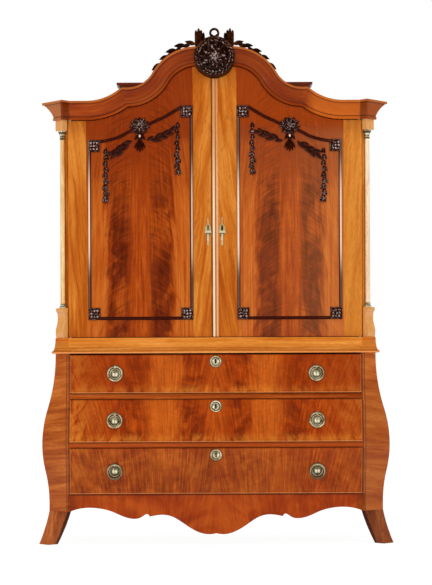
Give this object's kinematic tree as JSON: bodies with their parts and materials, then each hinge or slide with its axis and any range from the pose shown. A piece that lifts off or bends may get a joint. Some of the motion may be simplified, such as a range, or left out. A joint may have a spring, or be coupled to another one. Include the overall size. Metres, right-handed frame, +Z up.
{
  "type": "bombe cabinet",
  "caption": "Two-part bombe cabinet: swelling drawer base with ring pulls on splayed feet, and a two-door upper case with carved panels, diagonal columns and an arched cornice.",
  "frame": {"origin": "centre of the bounding box on the floor", "axes": "+Z up, the front with doors and drawers faces -Y, +X to the viewer's right"},
  "size_m": [1.7184, 0.6464, 2.489],
  "materials": {
    "mahogany": "polished",
    "dark_carving": "polished",
    "plain_oak": "satin",
    "aged_brass": "aged satin"
  },
  "bodies": {
    "cabinet": {"apron": "mahogany", "back_feet": "plain_oak", "base_back": "plain_oak", "base_bottom": "plain_oak", "base_post_left": "mahogany", "base_post_right": "mahogany", "base_side_left": "mahogany", "base_side_right": "mahogany", "base_top": "plain_oak", "cabinet_back": "plain_oak", "cabinet_bottom": "plain_oak", "cabinet_post_left": "mahogany", "cabinet_post_right": "mahogany", "cabinet_side_left": "mahogany", "cabinet_side_right": "mahogany", "cabinet_top": "plain_oak", "column_brasses": "aged_brass", "column_left": "mahogany", "column_right": "mahogany", "cornice_arch_left": "mahogany", "cornice_arch_right": "mahogany", "cornice_corner_left": "mahogany", "cornice_corner_right": "mahogany", "crest": "dark_carving", "crest_sprays": "dark_carving", "door_pivots": "aged_brass", "drawer_rails": "mahogany", "drawer_runners": "plain_oak", "front_feet": "mahogany", "shelf_battens": "plain_oak", "shelves": "plain_oak", "tympanum": "mahogany", "vase_stands": "plain_oak", "waist_moulding": "mahogany"},
    "door_left": {"door_left_brasses": "aged_brass", "door_left_carving": "dark_carving", "door_left_panel": "mahogany", "door_left_stiles": "mahogany"},
    "door_right": {"door_astragal": "mahogany", "door_right_brasses": "aged_brass", "door_right_carving": "dark_carving", "door_right_panel": "mahogany", "door_right_stiles": "mahogany"},
    "drawer_top": {"drawer_top_box": "plain_oak", "drawer_top_brasses": "aged_brass", "drawer_top_front": "mahogany"},
    "drawer_middle": {"drawer_middle_box": "plain_oak", "drawer_middle_brasses": "aged_brass", "drawer_middle_front": "mahogany"},
    "drawer_bottom": {"drawer_bottom_box": "plain_oak", "drawer_bottom_brasses": "aged_brass", "drawer_bottom_front": "mahogany"},
    "door_bolt_lower": {"door_bolt_lower": "aged_brass"},
    "door_bolt_upper": {"door_bolt_upper": "aged_brass"},
    "drawer_bottom_ring_left": {"drawer_bottom_ring_left": "aged_brass"},
    "drawer_bottom_ring_right": {"drawer_bottom_ring_right": "aged_brass"},
    "drawer_middle_ring_left": {"drawer_middle_ring_left": "aged_brass"},
    "drawer_middle_ring_right": {"drawer_middle_ring_right": "aged_brass"},
    "drawer_top_ring_left": {"drawer_top_ring_left": "aged_brass"},
    "drawer_top_ring_right": {"drawer_top_ring_right": "aged_brass"}
  },
  "joints": [
    {"name": "left_door_swing", "type": "hinge", "parent": "cabinet", "child": "door_left", "pos_m": [-0.7, -0.19684, 1.5], "axis": [0, 0, -1], "range_deg": [0, 95]},
    {"name": "right_door_swing", "type": "hinge", "parent": "cabinet", "child": "door_right", "pos_m": [0.7, -0.19684, 1.5], "axis": [0, 0, 1], "range_deg": [0, 95]},
    {"name": "top_drawer_slide", "type": "slide", "parent": "cabinet", "child": "drawer_top", "axis": [0, -1, 0], "range_m": [0, 0.42]},
    {"name": "middle_drawer_slide", "type": "slide", "parent": "cabinet", "child": "drawer_middle", "axis": [0, -1, 0], "range_m": [0, 0.42]},
    {"name": "bottom_drawer_slide", "type": "slide", "parent": "cabinet", "child": "drawer_bottom", "axis": [0, -1, 0], "range_m": [0, 0.42]},
    {"name": "bottom_ring_left_swing", "type": "hinge", "parent": "drawer_bottom", "child": "drawer_bottom_ring_left", "pos_m": [-0.48402, -0.31516, 0.38921], "axis": [-1, 0, 0], "range_deg": [0, 90]},
    {"name": "bottom_ring_right_swing", "type": "hinge", "parent": "drawer_bottom", "child": "drawer_bottom_ring_right", "pos_m": [0.48402, -0.31516, 0.38921], "axis": [-1, 0, 0], "range_deg": [0, 90]},
    {"name": "middle_ring_left_swing", "type": "hinge", "parent": "drawer_middle", "child": "drawer_middle_ring_left", "pos_m": [-0.48402, -0.30228, 0.63432], "axis": [-1, 0, 0], "range_deg": [0, 90]},
    {"name": "middle_ring_right_swing", "type": "hinge", "parent": "drawer_middle", "child": "drawer_middle_ring_right", "pos_m": [0.48402, -0.30228, 0.63432], "axis": [-1, 0, 0], "range_deg": [0, 90]},
    {"name": "top_ring_left_swing", "type": "hinge", "parent": "drawer_top", "child": "drawer_top_ring_left", "pos_m": [-0.48402, -0.25601, 0.85837], "axis": [-1, 0, 0], "range_deg": [0, 90]},
    {"name": "top_ring_right_swing", "type": "hinge", "parent": "drawer_top", "child": "drawer_top_ring_right", "pos_m": [0.48402, -0.25601, 0.85837], "axis": [-1, 0, 0], "range_deg": [0, 90]},
    {"name": "upper_bolt_slide", "type": "slide", "parent": "door_left", "child": "door_bolt_upper", "axis": [0, 0, 1], "range_m": [0, 0.014]},
    {"name": "lower_bolt_slide", "type": "slide", "parent": "door_left", "child": "door_bolt_lower", "axis": [0, 0, -1], "range_m": [0, 0.014]}
  ]
}
